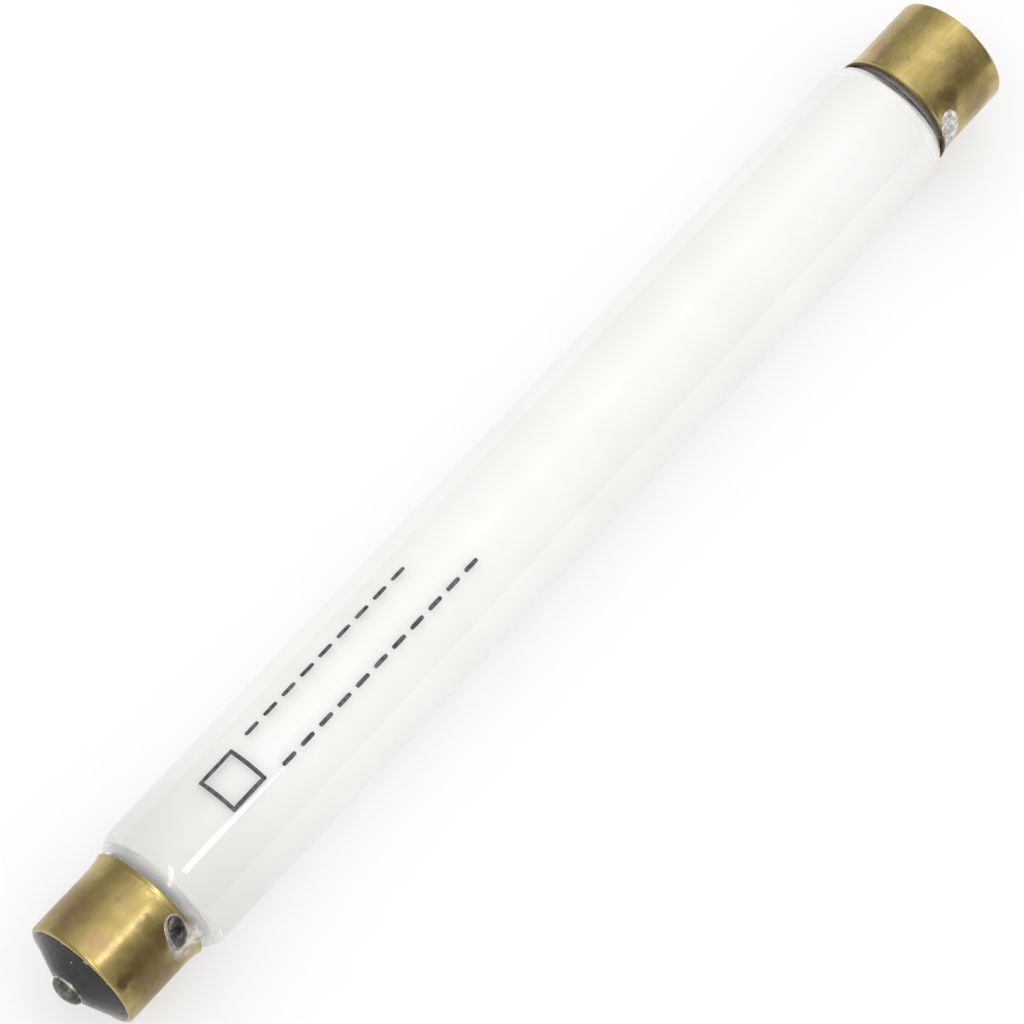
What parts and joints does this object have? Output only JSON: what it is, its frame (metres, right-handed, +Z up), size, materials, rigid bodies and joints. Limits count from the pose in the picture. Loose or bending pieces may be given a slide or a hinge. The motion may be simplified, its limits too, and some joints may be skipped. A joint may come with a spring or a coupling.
{
  "type": "fluorescent tube lamp",
  "caption": "Slim white fluorescent tube lamp with a plain brass cap, black insulator and centre contact on each end.",
  "frame": {"origin": "middle of the lamp on the tube's axis", "axes": "+X along the tube towards the right cap, +Z up, the tube lying level"},
  "size_m": [0.1458, 0.0159, 0.0158],
  "materials": {
    "tube_glass": "clear polished glass",
    "phosphor": "matte white powder",
    "cap_brass": "aged, tarnished satin",
    "black_glass": "glossy",
    "contact_brass": "dull",
    "solder": "dull tin, lumpy",
    "cement": "matte, grainy",
    "stem_glass": "clear glass",
    "lead_wire": "drawn wire",
    "cathode": "chalky oxide coat"
  },
  "bodies": {
    "root": {"glass_tube": "tube_glass", "phosphor_coating": "phosphor", "cap_shell_left": "cap_brass", "cap_shell_right": "cap_brass", "cap_insulator_left": "black_glass", "cap_insulator_right": "black_glass", "contact_eyelet_left": "contact_brass", "contact_eyelet_right": "contact_brass", "contact_solder_left": "solder", "contact_solder_right": "solder", "rim_solder_left": "solder", "rim_solder_right": "solder", "basing_cement_left": "cement", "basing_cement_right": "cement", "stem_left": "stem_glass", "stem_right": "stem_glass", "contact_lead_left": "lead_wire", "contact_lead_right": "lead_wire", "rim_lead_left": "lead_wire", "rim_lead_right": "lead_wire", "filament_left": "cathode", "filament_right": "cathode"}
  },
  "joints": []
}
